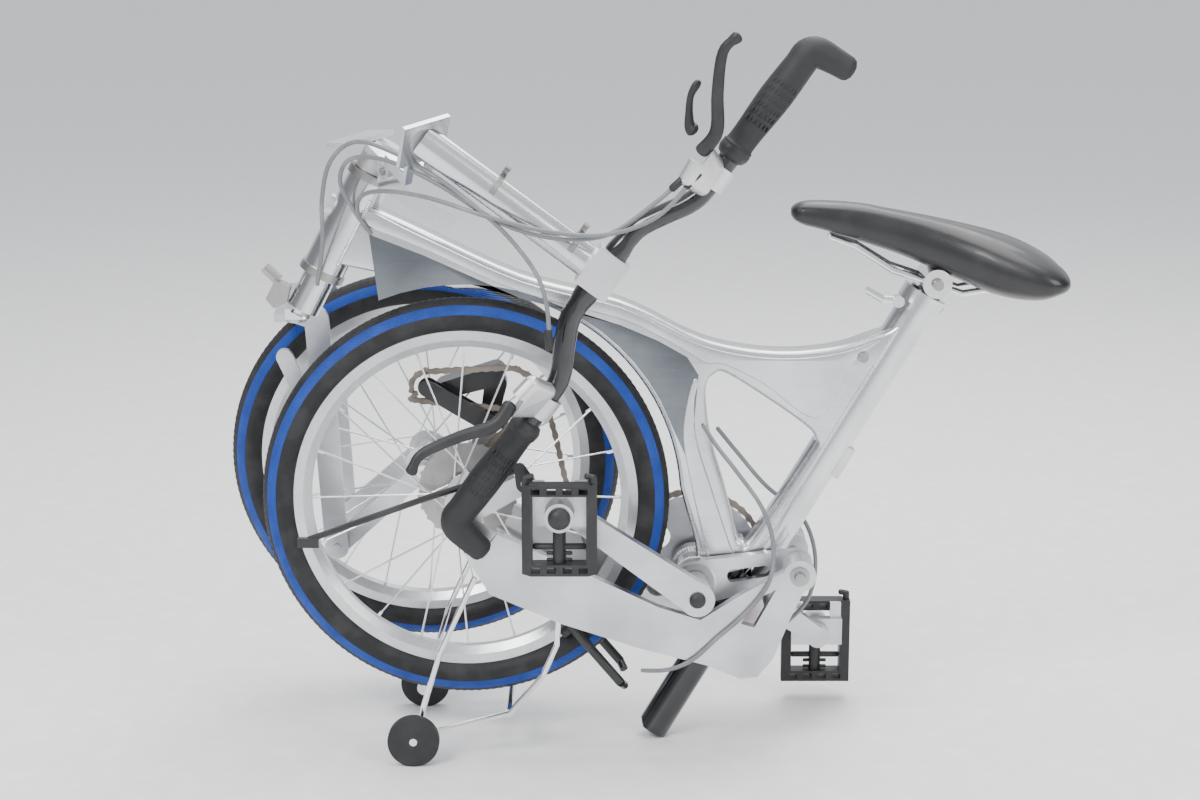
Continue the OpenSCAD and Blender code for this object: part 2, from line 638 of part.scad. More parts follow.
// Folding pedal: a block on the axle and a cage that folds down on it
module pedal_block(p, s) color("silver") difference() {
    union() {
        translate([p.x - 28, s > 0 ? 100 : -111, p.z - 15]) cube([56, 11, 30]);
        for (x = [-27, 15]) translate([p.x + x, s > 0 ? 105 : -111, p.z]) cube([12, 6, 32]);
        disc(p, 15, s > 0 ? 100 : -136, s > 0 ? 136 : -100);
    }
    disc(p, 4 + fit, s > 0 ? 90 : -134, s > 0 ? 134 : -90);
}
module pedal_cage(p, s) color([0.13, 0.13, 0.14]) difference() {
    translate([p.x, 0, p.z - 62]) scale([1, s, 1]) linear_extrude(94)
        polygon([[-38, 111.7], [38, 111.7], [38, 122], [29, 131], [-29, 131], [-38, 122]]);
    translate([p.x - 27, s > 0 ? 100 : -160, p.z - 50]) cube([54, 60, 71]);
    for (z = [p.z - 56, p.z + 26]) for (x = [-24, -8, 8, 24]) translate([p.x + x, 0, z])
        cube([9, 400, 6], center = true);
}
module left_pedal() pedal_block(left_pedal, -1);
module right_pedal() pedal_block(right_pedal, 1);
module left_cage() pedal_cage(left_pedal, -1);
module right_cage() pedal_cage(right_pedal, 1);
function around(c, r, a0, a1, n) = [for (i = [0 : n]) let (a = a0 + (a1 - a0) * i / n)
    [c.x + r * cos(a), 0, c.z + r * sin(a)]];
chain_path = concat(around(bb, chain_r, -78, 184, 24),
    [[20, 0, 165], [11, 0, 158], [1, 0, 160], [-7, 0, 172], [-14, 0, 198], [-24, 0, 232], [-36, 0, 268], [-50, 0, 330], [-66, 0, 376], [-82, 0, 390],
     [-100, 0, 395]],
    around(tension_pulley, 17.5, 80, 235, 6), around(guide_pulley, 17.5, 60, -60, 5),
    around(rear_axle, 34.5, 75, 262, 8), around(bb, chain_r, -118, -89, 3));
// The chain's outline, moved in or out of its path
function chain_edge(t) = let (n = len(chain_path)) [for (i = [0 : n - 1])
    let (d = unit(chain_path[(i + 1) % n] - chain_path[(i + n - 1) % n]))
        [chain_path[i].x + t * d.z, chain_path[i].z - t * d.x]];
module chain() color([0.45, 0.42, 0.38]) side(44.3, 49.7) difference() {
    polygon(chain_edge(4));
    polygon(chain_edge(-4));
}

// ---- cables ----
module cables() color([0.1, 0.1, 0.1]) {
    bent([[-54, -50, 473], [-63, -50, 519], [-106, -50, 578], [-150, -50, 614]], 2.2, 8);
    bent([[110, -77, 347], [138, -77, 316], [169, -77, 273], [180, -77, 236], [176, -77, 188], [150, -77, 166],
          [104, -77, 122], [94, -77, 112], [47, -77, 98]], 2.2, 8);
    bent([[125, 22, 334], [170, 27, 279], [219, 27, 235], [230, 27, 190], [226, 27, 145], [205, 27, 117]], 2.2, 8);
}

translate(shift) {
    main_frame();
    head_tube();
    seat_tube();
    bb_shell();
    pivot_lugs();
    frame_fittings();
    headset_cups();
    seat_clamp();
    seat_clamp_lever();
    bb_cartridge();
    steerer();
    crown();
    hinge_base();
    hinge_pin();
    latch_lever();
    crown_latch();
    handlepost();
    bar_clamp();
    handlebar();
    cable_hooks();
    right_grip();
    left_grip();
    right_lever_body();
    left_lever_body();
    right_brake_lever();
    left_brake_lever();
    shift_lever();
    fork();
    fork_links();
    front_axle_bolt();
    front_hub();
    front_rim();
    front_tyre();
    front_spokes();
    swingarm();
    pivot_bolts();
    rubber_buffer();
    rear_brake_left();
    rear_brake_right();
    caster_frame();
    casters();
    kickstand();
    rear_axle_bolt();
    derailleur();
    derailleur_cage();
    rear_hub();
    rear_rim();
    rear_tyre();
    rear_spokes();
    cassette();
    seat_post();
    saddle_rails();
    saddle();
    crankset();
    left_pedal();
    left_cage();
    right_pedal();
    right_cage();
    chain();
    cables();
}
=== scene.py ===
"""Finishes and fine pieces for a folding bicycle that stands folded on its small rolling wheels."""

import math

import bmesh
import bpy
from bpy.props import FloatProperty, FloatVectorProperty, IntProperty, PointerProperty
from mathutils import Matrix, Vector


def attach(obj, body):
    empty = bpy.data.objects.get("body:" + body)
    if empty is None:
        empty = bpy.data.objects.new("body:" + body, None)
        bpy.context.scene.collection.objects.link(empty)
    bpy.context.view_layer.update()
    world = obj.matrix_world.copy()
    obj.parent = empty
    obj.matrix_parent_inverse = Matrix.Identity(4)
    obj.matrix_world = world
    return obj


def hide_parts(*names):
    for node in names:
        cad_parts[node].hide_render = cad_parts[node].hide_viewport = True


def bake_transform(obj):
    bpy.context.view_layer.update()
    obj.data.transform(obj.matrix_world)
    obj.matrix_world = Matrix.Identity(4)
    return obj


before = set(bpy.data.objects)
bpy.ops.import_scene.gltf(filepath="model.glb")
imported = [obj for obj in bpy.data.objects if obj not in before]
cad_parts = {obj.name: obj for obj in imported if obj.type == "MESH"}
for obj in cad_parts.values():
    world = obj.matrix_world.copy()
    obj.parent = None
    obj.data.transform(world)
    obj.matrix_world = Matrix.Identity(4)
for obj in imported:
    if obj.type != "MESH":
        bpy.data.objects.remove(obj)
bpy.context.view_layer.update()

bl_info = {
    "name": "Folded Bicycle",
    "version": (1, 0, 0),
    "blender": (4, 5, 0),
    "location": "View3D > Sidebar > Bicycle",
    "description": "Finishes, tyres, saddle, grips, cables and chain of a folding bicycle",
    "category": "Object",
}

MM = 0.001
SHIFT = Vector((-29.68, -24.4, -1.0))
HEAD_ANGLE = math.radians(62.3)
SEAT_ANGLE = math.radians(59.5)
UP_HEAD = Vector((math.cos(HEAD_ANGLE), 0, math.sin(HEAD_ANGLE)))
BACK_HEAD = Vector((math.sin(HEAD_ANGLE), 0, -math.cos(HEAD_ANGLE)))
UP_SEAT = Vector((math.cos(SEAT_ANGLE), 0, math.sin(SEAT_ANGLE)))
RIGHT = Vector((0, 1, 0))
REAR_AXLE = Vector((-141, 0, 266))
BOTTOM_BRACKET = Vector((100, 0, 182))
SEAT_TOP = Vector((329, 0, 472))
HEAD_LOW = Vector((-285, 0, 511))
POST_LENGTH = 221
BAR_RISE = 32
BAR_HALF = 296
TYRE_CENTRE = 195.5
TYRE_SECTION = 18.6
CRANK_LENGTH = 172
CHAIN_RADIUS = 77
PULLEY_RADIUS = 17.5
TENSION_PULLEY = Vector((-183, 0, 374))
GUIDE_PULLEY = Vector((-118, 0, 336))
COG_RADIUS = 34.5
CHAIN_LINE = 47
CRANK_TURN = math.radians(145)


def at(x, y, z):
    """A point of the drawing, in the frame's metres."""
    return (Vector((x, y, z)) + SHIFT) * MM


def placed(points, matrix=None):
    return [(matrix @ Vector(p) if matrix else Vector(p)) for p in points]


def metres():
    return Matrix.Scale(MM, 4) @ Matrix.Translation(SHIFT)


def folded_post():
    """The place of the folded handlepost: Z up the post, Y right and X back when ridden."""
    axis = (0.5175 * UP_HEAD + 0.605 * RIGHT + 0.605 * BACK_HEAD).normalized()
    pin = Vector((-205, -45, 621))
    upright = Matrix((BACK_HEAD, RIGHT, UP_HEAD)).transposed().to_4x4()
    upright.translation = Vector((-246, 0, 647))
    turn = Matrix.Rotation(math.radians(125.3), 4, axis)
    return Matrix.Translation(pin) @ turn @ Matrix.Translation(-pin) @ upright


def folded_fork():
    """The half turn that lays the fork and front wheel beside the rear wheel."""
    lean = math.radians(3.5)
    pin = Vector((-322, 58, 452))
    turn = Matrix.Rotation(math.pi, 4, Vector((0, -math.sin(lean), math.cos(lean))))
    return Matrix.Translation(pin) @ turn @ Matrix.Translation(-pin)


POST = metres() @ folded_post()
FORK = metres() @ folded_fork()
FRONT_WHEEL = FORK @ Matrix.Translation(Vector((-451.5, 0, 267)))
REAR_WHEEL = metres() @ Matrix.Translation(REAR_AXLE)


# ---- shader building ----


class Value:
    """A shader socket that takes part in Python maths."""

    def __init__(self, finish, socket):
        self.finish, self.socket = finish, socket

    def _maths(self, operation, first, second=None):
        sockets = {0: first} if second is None else {0: first, 1: second}
        return self.finish.node("ShaderNodeMath", {"operation": operation}, sockets)

    def __add__(self, other):
        return self._maths("ADD", self, other)

    __radd__ = __add__

    def __sub__(self, other):
        return self._maths("SUBTRACT", self, other)

    def __mul__(self, other):
        return self._maths("MULTIPLY", self, other)

    __rmul__ = __mul__

    def above(self, other):
        return self._maths("GREATER_THAN", self, other)

    def below(self, other):
        return self._maths("LESS_THAN", self, other)

    def sine(self):
        return self._maths("SINE", self)

    def size(self):
        return self._maths("ABSOLUTE", self)


class Finish:
    """A material whose nodes are written as expressions."""

    def __init__(self, name, **constants):
        self.material = bpy.data.materials.new(name)
        self.material.use_nodes = True
        self.tree = self.material.node_tree
        self.shader = self.tree.nodes["Principled BSDF"]
        for key, value in constants.items():
            self.shader.inputs[key.replace("_", " ").title().replace("Ior", "IOR")].default_value = value

    def node(self, kind, settings, sockets, output=0):
        made = self.tree.nodes.new(kind)
        for key, value in settings.items():
            setattr(made, key, value)
        for key, value in sockets.items():
            if isinstance(value, Value):
                self.tree.links.new(value.socket, made.inputs[key])
            else:
                made.inputs[key].default_value = value
        return Value(self, made.outputs[output])

    def place(self, scale=(1, 1, 1), turn=(0, 0, 0), source="Object"):
        coordinates = self.node("ShaderNodeTexCoord", {}, {}, source)
        return self.node("ShaderNodeMapping", {}, {0: coordinates, "Scale": scale, "Rotation": turn})

    def noise(self, scale, detail=4.0, where=None):
        where = where or self.place()
        return self.node("ShaderNodeTexNoise", {}, {"Vector": where, "Scale": scale, "Detail": detail})

    def parts(self, vector):
        split = self.tree.nodes.new("ShaderNodeSeparateXYZ")
        self.tree.links.new(vector.socket, split.inputs[0])
        return [Value(self, out) for out in split.outputs]

    def ramp(self, amount, low, high, low_out, high_out):
        return self.node(
            "ShaderNodeMapRange", {}, {0: amount, 1: low, 2: high, 3: low_out, 4: high_out}
        )

    def colour(self, mask, first, second):
        """The first colour where the mask is 0 and the second where it is 1."""
        first = first if isinstance(first, Value) else (*first, 1)
        return self.node(
            "ShaderNodeMix", {"data_type": "RGBA"}, {0: mask, 6: first, 7: (*second, 1)}, 2
        )

    def feed(self, **sockets):
        for key, value in sockets.items():
            self.tree.links.new(value.socket, self.shader.inputs[key.replace("_", " ")])

    def bump(self, height, strength, distance):
        self.feed(Normal=self.node(
            "ShaderNodeBump", {}, {"Strength": strength, "Distance": distance, "Height": height}
        ))


def metal(name, tint, rough, streak, streak_turn=(0, 0, 0), dirt=0.25, metallic=1.0):
    """A bare metal with fine streaks along one direction, faint clouding and dull patches."""
    made = Finish(name, metallic=metallic)
    lines = made.noise(260, 3, made.place(streak, streak_turn))
    cloud = made.noise(14, 5)
    specks = made.noise(420, 2)
    darker = tuple(c * (1 - dirt) for c in tint)
    base = made.colour(made.ramp(cloud, 0.35, 0.7, 0.0, 1.0), tint, darker)
    made.feed(
        Base_Color=made.colour(made.ramp(lines, 0.55, 0.8, 0.0, 0.35), base, darker),
        Roughness=made.ramp(cloud + lines * 0.6, 0.4, 1.2, rough * 0.7, rough * 1.5),
    )
    made.bump(lines + specks * 0.4, 0.12, 0.0002)
    return made.material


def moulded(name, tint, rough, grain=900.0, depth=0.25, coat=0.0):
    """Moulded plastic, rubber or paint with a fine grain, dust and rubbed places."""
    made = Finish(name, coat_weight=coat, specular_ior_level=0.45)
    pores = made.noise(grain, 2)
    dust = made.noise(32, 6)
    lighter = tuple(min(1, c * 1.9 + 0.02) for c in tint)
    made.feed(
        Base_Color=made.colour(made.ramp(dust, 0.5, 0.8, 0.0, 0.55), tint, lighter),
        Roughness=made.ramp(dust + pores * 0.3, 0.4, 1.0, rough * 0.8, min(1, rough * 1.25)),
    )
    made.bump(pores, depth, 0.0003)
    return made.material


def ring_metal(name, tint, rough, centre):
    """Metal turned or machined in rings round a wheel's axle."""
    made = Finish(name, metallic=1.0)
    coordinates = made.node("ShaderNodeTexCoord", {}, {}, "Object")
    arm = made.node(
        "ShaderNodeVectorMath", {"operation": "DISTANCE"}, {0: coordinates, 1: tuple(centre)}, 1
    )
    rings = (arm * 9000.0).sine()
    cloud = made.noise(18, 5)
    worn = made.noise(150, 3)
    made.feed(
        Base_Color=made.colour(
            made.ramp(cloud + worn * 0.4, 0.5, 1.0, 0.0, 0.7), tint, tuple(c * 0.62 for c in tint)
        ),
        Roughness=made.ramp(rings + cloud, -0.8, 1.6, rough * 0.8, rough * 1.3),
    )
    made.bump(rings, 0.08, 0.0002)
    return made.material


def tyre_rubber(name, band_tint):
    """Black rubber with a coloured band on each shoulder; V of the UV map runs round the section."""
    made = Finish(name, specular_ior_level=0.35)
    across = made.parts(made.node("ShaderNodeTexCoord", {}, {}, "UV"))
    from_crown = (across[1] - 0.5).size()
    ribs = ((across[0] * 1900.0) + from_crown * 300.0).sine()
    band = from_crown.above(0.128) * from_crown.below(0.222)
    dust = made.noise(40, 5)
    grain = made.noise(700, 2)
    rubber = made.colour(
        made.ramp(dust, 0.45, 0.8, 0.0, 0.6), (0.012, 0.012, 0.013), (0.06, 0.06, 0.062)
    )
    blue = made.colour(
        made.ramp(dust + ribs * 0.12, 0.4, 0.9, 0.0, 0.8), band_tint, tuple(c * 0.45 for c in band_tint)
    )
    mixed = made.node("ShaderNodeMix", {"data_type": "RGBA"}, {0: band, 6: rubber, 7: blue}, 2)
    made.feed(Base_Color=mixed, Roughness=made.ramp(dust, 0.3, 0.8, 0.45, 0.75))
    made.bump(ribs * from_crown.below(0.23) + grain * 0.5, 0.5, 0.0006)
    return made.material


def leather(name):
    """Smooth black saddle cover with a fine pebble and rubbed highlights."""
    made = Finish(name, coat_weight=0.15, specular_ior_level=0.5)
    cells = made.node("ShaderNodeTexVoronoi", {}, {"Vector": made.place(), "Scale": 620.0}, 0)
    worn = made.noise(22, 5)
    fine = made.noise(1200, 2)
    made.feed(
        Base_Color=made.colour(
            made.ramp(worn, 0.45, 0.8, 0.0, 0.8), (0.009, 0.009, 0.0095), (0.03, 0.03, 0.031)
        ),
        Roughness=made.ramp(worn + fine * 0.2, 0.4, 0.9, 0.3, 0.52),
    )
    made.bump(cells + fine * 0.3, 0.22, 0.0004)
    return made.material


FINISHES = {}


def finish(name):
    return FINISHES[name]


# ---- mesh building ----


def piece_from(name, points, faces, smooth=True, uvs=None):
    mesh = bpy.data.meshes.new(name)
    mesh.from_pydata([tuple(p) for p in points], [], faces)
    if uvs:
        layer = mesh.uv_layers.new(name="UVMap")
        for loop in mesh.loops:
            layer.data[loop.index].uv = uvs[loop.index]
    edit = bmesh.new()
    edit.from_mesh(mesh)
    bmesh.ops.recalc_face_normals(edit, faces=edit.faces)
    edit.to_mesh(mesh)
    edit.free()
    mesh.polygons.foreach_set("use_smooth", [smooth] * len(mesh.polygons))
    made = bpy.data.objects.new(name, mesh)
    bpy.context.scene.collection.objects.link(made)
    return made


def settle(made, body, material, slot, *replaced):
    """Gives a piece its finish, its body and the nodes that it stands for."""
    if material:
        made.data.materials.clear()
        made.data.materials.append(finish(material))
    if body:
        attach(made, body)
    if replaced:
        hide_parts(*replaced)
    return made


def flow(points, steps=8, closed=False):
    """A smooth run through the points."""
    points = [Vector(p) for p in points]
    count = len(points)
    run = []
    for i in range(count if closed else count - 1):
        if closed:
            a, b, c, d = (points[(i + k) % count] for k in (-1, 0, 1, 2))
        else:
            a, b = points[max(i - 1, 0)], points[i]
            c, d = points[i + 1], points[min(i + 2, count - 1)]
        for k in range(steps):
            t = k / steps
            run.append(0.5 * (2 * b + (c - a) * t + (2 * a - 5 * b + 4 * c - d) * t * t
                              + (3 * b - a - 3 * c + d) * t ** 3))
    if not closed:
        run.append(points[-1])
    return run


def rounded_ends(path, radii, steps=3):
    """Adds narrowing points past both ends of a path."""
    head, tail = [], []
    start_way = (path[0] - path[1]).normalized() * radii[0] * 0.6
    end_way = (path[-1] - path[-2]).normalized() * radii[-1] * 0.6
    for k in range(1, steps + 1):
        turn = k / steps * math.pi / 2
        narrow = max(math.cos(turn), 0.04)
        head.insert(0, (path[0] + start_way * math.sin(turn), radii[0] * narrow))
        tail.append((path[-1] + end_way * math.sin(turn), radii[-1] * narrow))
    full = head + list(zip(path, radii)) + tail
    return [p for p, _ in full], [r for _, r in full]


def tube(name, path, radius, matrix, sides=16, flat=(1.0, 1.0), first_side=None):
    """A bar along a path; radius is a number or a value for each point."""
    path = [Vector(p) for p in path]
    radii = list(radius) if isinstance(radius, (list, tuple)) else [radius] * len(path)
    path, radii = rounded_ends(path, radii)
    side = Vector(first_side) if first_side else None
    points = []
    for i, centre in enumerate(path):
        ahead = (path[min(i + 1, len(path) - 1)] - path[max(i - 1, 0)]).normalized()
        if side is None:
            side = ahead.orthogonal()
        side = (side - ahead * side.dot(ahead)).normalized()
        other = ahead.cross(side)
        for j in range(sides):
            turn = j / sides * math.tau
            points.append(centre + side * (radii[i] * flat[0] * math.cos(turn))
                          + other * (radii[i] * flat[1] * math.sin(turn)))
    faces = [[i * sides + j, i * sides + (j + 1) % sides, (i + 1) * sides + (j + 1) % sides,
              (i + 1) * sides + j] for i in range(len(path) - 1) for j in range(sides)]
    faces.append(list(range(sides)))
    faces.append([(len(path) - 1) * sides + j for j in range(sides)])
    return piece_from(name, placed(points, matrix), faces)


def joined(name, pieces):
    """Several meshes as one piece."""
    edit = bmesh.new()
    for part in pieces:
        edit.from_mesh(part.data)
        bpy.data.objects.remove(part)
    mesh = bpy.data.meshes.new(name)
    edit.to_mesh(mesh)
    edit.free()
    made = bpy.data.objects.new(name, mesh)
    bpy.context.scene.collection.objects.link(made)
    return made


def rounded_plate(name, outline, windows, low, high, edge, matrix=None):
    """A plate in the X-Z plane from an outline, with rounded edges, between two distances along Y."""
    curve = bpy.data.curves.new(name, "CURVE")
    curve.dimensions = "2D"
    curve.fill_mode = "BOTH"
    curve.extrude = (high - low) / 2 - edge
    curve.bevel_depth = edge
    curve.bevel_resolution = 3
    curve.offset = -edge
    for loop in [outline, *windows]:
        spline = curve.splines.new("POLY")
        spline.points.add(len(loop) - 1)
        for point, (x, z) in zip(spline.points, loop):
            point.co = (x, z, 0, 1)
        spline.use_cyclic_u = True
    holder = bpy.data.objects.new(name, curve)
    bpy.context.scene.collection.objects.link(holder)
    bpy.context.view_layer.update()
    mesh = bpy.data.meshes.new_from_object(holder.evaluated_get(bpy.context.evaluated_depsgraph_get()))
    bpy.data.objects.remove(holder)
    upright = Matrix(((1, 0, 0, 0), (0, 0, -1, (low + high) / 2), (0, 1, 0, 0), (0, 0, 0, 1)))
    mesh.transform((matrix or metres()) @ upright)
    edit = bmesh.new()
    edit.from_mesh(mesh)
    bmesh.ops.remove_doubles(edit, verts=edit.verts, dist=1e-6)
    bmesh.ops.recalc_face_normals(edit, faces=edit.faces)
    for face in edit.faces:
        face.smooth = True
    for line in edit.edges:
        line.smooth = len(line.link_faces) < 2 or line.calc_face_angle(0) < math.radians(32)
    edit.to_mesh(mesh)
    edit.free()
    made = bpy.data.objects.new(name, mesh)
    bpy.context.scene.collection.objects.link(made)
    return made


# ---- repeated shapes, laid along a path with Geometry Nodes ----


def repeat_tree():
    """Lays copies of one shape along a path, its X axis along the path."""
    tree = bpy.data.node_groups.new("copies_along_path", "GeometryNodeTree")
    face = tree.interface
    face.new_socket("Path", in_out="INPUT", socket_type="NodeSocketGeometry")
    face.new_socket("Shape", in_out="INPUT", socket_type="NodeSocketObject")
    face.new_socket("Copies", in_out="INPUT", socket_type="NodeSocketInt")
    face.new_socket("Finish", in_out="INPUT", socket_type="NodeSocketMaterial")
    face.new_socket("Result", in_out="OUTPUT", socket_type="NodeSocketGeometry")
    nodes, join = tree.nodes, tree.links.new
    given, out = nodes.new("NodeGroupInput"), nodes.new("NodeGroupOutput")
    curve = nodes.new("GeometryNodeMeshToCurve")
    spots = nodes.new("GeometryNodeCurveToPoints")
    spots.mode = "COUNT"
    shape = nodes.new("GeometryNodeObjectInfo")
    turn = nodes.new("FunctionNodeAlignRotationToVector")
    turn.axis, turn.pivot_axis = "X", "Y"
    copies = nodes.new("GeometryNodeInstanceOnPoints")
    real = nodes.new("GeometryNodeRealizeInstances")
    coat = nodes.new("GeometryNodeSetMaterial")
    join(given.outputs["Path"], curve.inputs[0])
    join(curve.outputs[0], spots.inputs["Curve"])
    join(given.outputs["Copies"], spots.inputs["Count"])
    join(given.outputs["Shape"], shape.inputs["Object"])
    join(spots.outputs["Tangent"], turn.inputs["Vector"])
    join(spots.outputs["Points"], copies.inputs["Points"])
    join(shape.outputs["Geometry"], copies.inputs["Instance"])
    join(turn.outputs[0], copies.inputs["Rotation"])
    join(copies.outputs[0], real.inputs[0])
    join(real.outputs[0], coat.inputs["Geometry"])
    join(given.outputs["Finish"], coat.inputs["Material"])
    join(coat.outputs[0], out.inputs[0])
    return tree


REPEAT = []


def laid_along(name, path, shape, copies, material, matrix, closed=False):
    """Copies of a shape along a path in the X-Z plane, as one plain mesh. Sizes are in millimetres."""
    if not REPEAT:
        REPEAT.append(repeat_tree())
    mesh = bpy.data.meshes.new(name)
    count = len(path)
    edges = [(i, (i + 1) % count) for i in range(count if closed else count - 1)]
    mesh.from_pydata([tuple(p) for p in path], edges, [])
    holder = bpy.data.objects.new(name + "_path", mesh)
    bpy.context.scene.collection.objects.link(holder)
    modifier = holder.modifiers.new("copies", "NODES")
    modifier.node_group = REPEAT[0]
    sockets = {i.name: i.identifier for i in REPEAT[0].interface.items_tree if i.in_out == "INPUT"}
    modifier[sockets["Shape"]] = shape
    modifier[sockets["Copies"]] = copies
    modifier[sockets["Finish"]] = finish(material)
    bpy.context.view_layer.update()
    result = bpy.data.meshes.new_from_object(
        holder.evaluated_get(bpy.context.evaluated_depsgraph_get()))
    bpy.data.objects.remove(holder)
    bpy.data.objects.remove(shape)
    result.transform(matrix)
    made = bpy.data.objects.new(name, result)
    bpy.context.scene.collection.objects.link(made)
    return made


def block(size, edge=0.0, name="shape"):
    """A box with cut edges, as a shape to repeat."""
    edit = bmesh.new()
    bmesh.ops.create_cube(edit, size=1.0)
    bmesh.ops.scale(edit, vec=size, verts=edit.verts)
    if edge:
        bmesh.ops.bevel(edit, geom=edit.edges[:], offset=edge, segments=2, affect="EDGES")
    return shape_from(edit, name)


def shape_from(edit, name):
    mesh = bpy.data.meshes.new(name)
    edit.to_mesh(mesh)
    edit.free()
    made = bpy.data.objects.new(name, mesh)
    bpy.context.scene.collection.objects.link(made)
    return made


def bead(length, height):
    """One ripple of a weld."""
    edit = bmesh.new()
    bmesh.ops.create_uvsphere(edit, u_segments=10, v_segments=6, radius=1.0)
    bmesh.ops.scale(edit, vec=(length, height, height), verts=edit.verts)
    return shape_from(edit, "bead")


def bolt_head(radius, height):
    """A cap screw seen end on, its head towards the left."""
    edit = bmesh.new()
    up = Matrix.Rotation(math.pi / 2, 4, "X")
    bmesh.ops.create_cone(edit, cap_ends=True, segments=20, radius1=radius, radius2=radius * 0.86,
                          depth=height, matrix=up)
    bmesh.ops.create_cone(edit, cap_ends=True, segments=6, radius1=radius * 0.5,
                          radius2=radius * 0.5, depth=height * 0.4,
                          matrix=Matrix.Translation((0, -height * 0.36, 0)) @ up)
    return shape_from(edit, "bolt")


def circle_path(radius, across=0.0, steps=120):
    return [(radius * math.cos(a), across, radius * math.sin(a))
            for a in (i / steps * math.tau for i in range(steps))]


# ---- sizes and colours that a user may change ----


class BicycleFinishes(bpy.types.PropertyGroup):
    alloy: FloatVectorProperty(name="Alloy", description="Colour of the polished frame",
                               subtype="COLOR", size=3, default=(0.72, 0.73, 0.74))
    band: FloatVectorProperty(name="Tyre band", description="Colour of the bands on the tyres",
                              subtype="COLOR", size=3, default=(0.010, 0.055, 0.33))
    rubber: FloatVectorProperty(name="Grip rubber", description="Colour of the grips",
                                subtype="COLOR", size=3, default=(0.016, 0.016, 0.017))


class BicycleSizes(bpy.types.PropertyGroup):
    cable: FloatProperty(name="Cable", description="Radius of the cable sleeves, in millimetres",
                         default=2.3, min=1.5, max=3.0)
    links: IntProperty(name="Chain links", description="Number of links in the chain",
                       default=128, min=60, max=160)
    tread: IntProperty(name="Tread blocks", description="Blocks in one row of a tyre's tread",
                       default=170, min=60, max=240)


class BICYCLE_OT_finishes(bpy.types.Operator):
    """Makes the materials and gives each part of the frame its own"""

    bl_idname = "bicycle.finishes"
    bl_label = "Finishes"

    def execute(self, context):
        look = context.scene.bicycle_finishes
        alloy, rubber = tuple(look.alloy), tuple(look.rubber)
        FINISHES.update(
            frame_alloy=metal("frame_alloy", alloy, 0.24, (0.05, 1.0, 1.0), (0, 0.25, 0), 0.22),
            # Dark alloy for the lower faces of the frame: painted reflection, a darker copy of the frame
            # alloy that stands for dark surroundings mirrored in the polished sides.
            shaded_alloy=metal("shaded_alloy", (0.20, 0.22, 0.24), 0.22, (0.05, 1.0, 1.0),
                               (0, 0.25, 0), 0.3),
            arm_alloy=metal("arm_alloy", (0.68, 0.69, 0.71), 0.33, (0.05, 1.0, 1.0), (0, 0.4, 0)),
            tube_alloy=metal("tube_alloy", alloy, 0.2, (1.0, 1.0, 0.05), (0, -0.5, 0), 0.2),
            cast_alloy=metal("cast_alloy", (0.80, 0.80, 0.81), 0.4, (1, 1, 1), dirt=0.3),
            bright_steel=metal("bright_steel", (0.86, 0.86, 0.87), 0.12, (0.2, 1, 1), dirt=0.12),
            plain_steel=metal("plain_steel", (0.45, 0.44, 0.43), 0.35, (1, 1, 0.2), dirt=0.4),
            chain_steel=metal("chain_steel", (0.33, 0.29, 0.25), 0.42, (1, 1, 1), dirt=0.55),
            bar_black=moulded("bar_black", (0.008, 0.008, 0.009), 0.2, 300, 0.05, coat=0.6),
            black_alloy=moulded("black_alloy", (0.014, 0.014, 0.015), 0.36, 500, 0.15, coat=0.2),
            black_plastic=moulded("black_plastic", (0.018, 0.018, 0.019), 0.5),
            grip_rubber=moulded("grip_rubber", rubber, 0.62, 1300, 0.6),
            red_rubber=moulded("red_rubber", (0.42, 0.10, 0.07), 0.55),
            cable_sleeve=moulded("cable_sleeve", (0.17, 0.18, 0.19), 0.38, 600, 0.1),
            tyre_rubber=tyre_rubber("tyre_rubber", tuple(look.band)),
            saddle_cover=leather("saddle_cover"),
            rear_rim_alloy=ring_metal("rear_rim_alloy", (0.75, 0.76, 0.77), 0.28, at(*REAR_AXLE)),
            front_rim_alloy=ring_metal("front_rim_alloy", (0.75, 0.76, 0.77), 0.28,
                                       FRONT_WHEEL.translation),
            floor_paint=moulded("floor_paint", (0.86, 0.86, 0.855), 0.5, 60, 0.05),
        )
        wears = {
            "frame_alloy": ["main_frame"],
            "arm_alloy": ["swingarm", "pivot_lugs", "crankset", "fork", "fork_links"],
            "tube_alloy": ["head_tube", "seat_tube", "bb_shell", "handlepost", "seat_clamp", "crown"],
            "cast_alloy": ["hinge_base", "bar_clamp", "right_lever_body", "left_lever_body",
                           "left_pedal", "right_pedal", "front_hub", "rear_hub", "frame_fittings"],
            "bright_steel": ["latch_lever", "seat_clamp_lever", "caster_frame", "saddle_rails",
                             "front_axle_bolt", "rear_axle_bolt", "front_spokes", "rear_spokes"],
            "plain_steel": ["steerer", "hinge_pin", "pivot_bolts", "headset_cups", "bb_cartridge",
                            "cassette", "crown_latch", "cable_hooks"],
            "chain_steel": ["chain"],
            "bar_black": ["handlebar", "seat_post"],
            "black_alloy": ["kickstand", "derailleur", "rear_brake_left", "rear_brake_right",
                            "derailleur_cage"],
            "black_plastic": ["right_brake_lever", "left_brake_lever", "shift_lever", "left_cage",
                              "right_cage"],
            "grip_rubber": ["right_grip", "left_grip", "casters"],
            "red_rubber": ["rubber_buffer"],
            "tyre_rubber": ["front_tyre", "rear_tyre"],
            "saddle_cover": ["saddle"],
            "cable_sleeve": ["cables"],
            "rear_rim_alloy": ["rear_rim"],
            "front_rim_alloy": ["front_rim"],
        }
        for name, nodes in wears.items():
            for node in nodes:
                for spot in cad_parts[node].material_slots:
                    spot.material = finish(name)
        return {"FINISHED"}


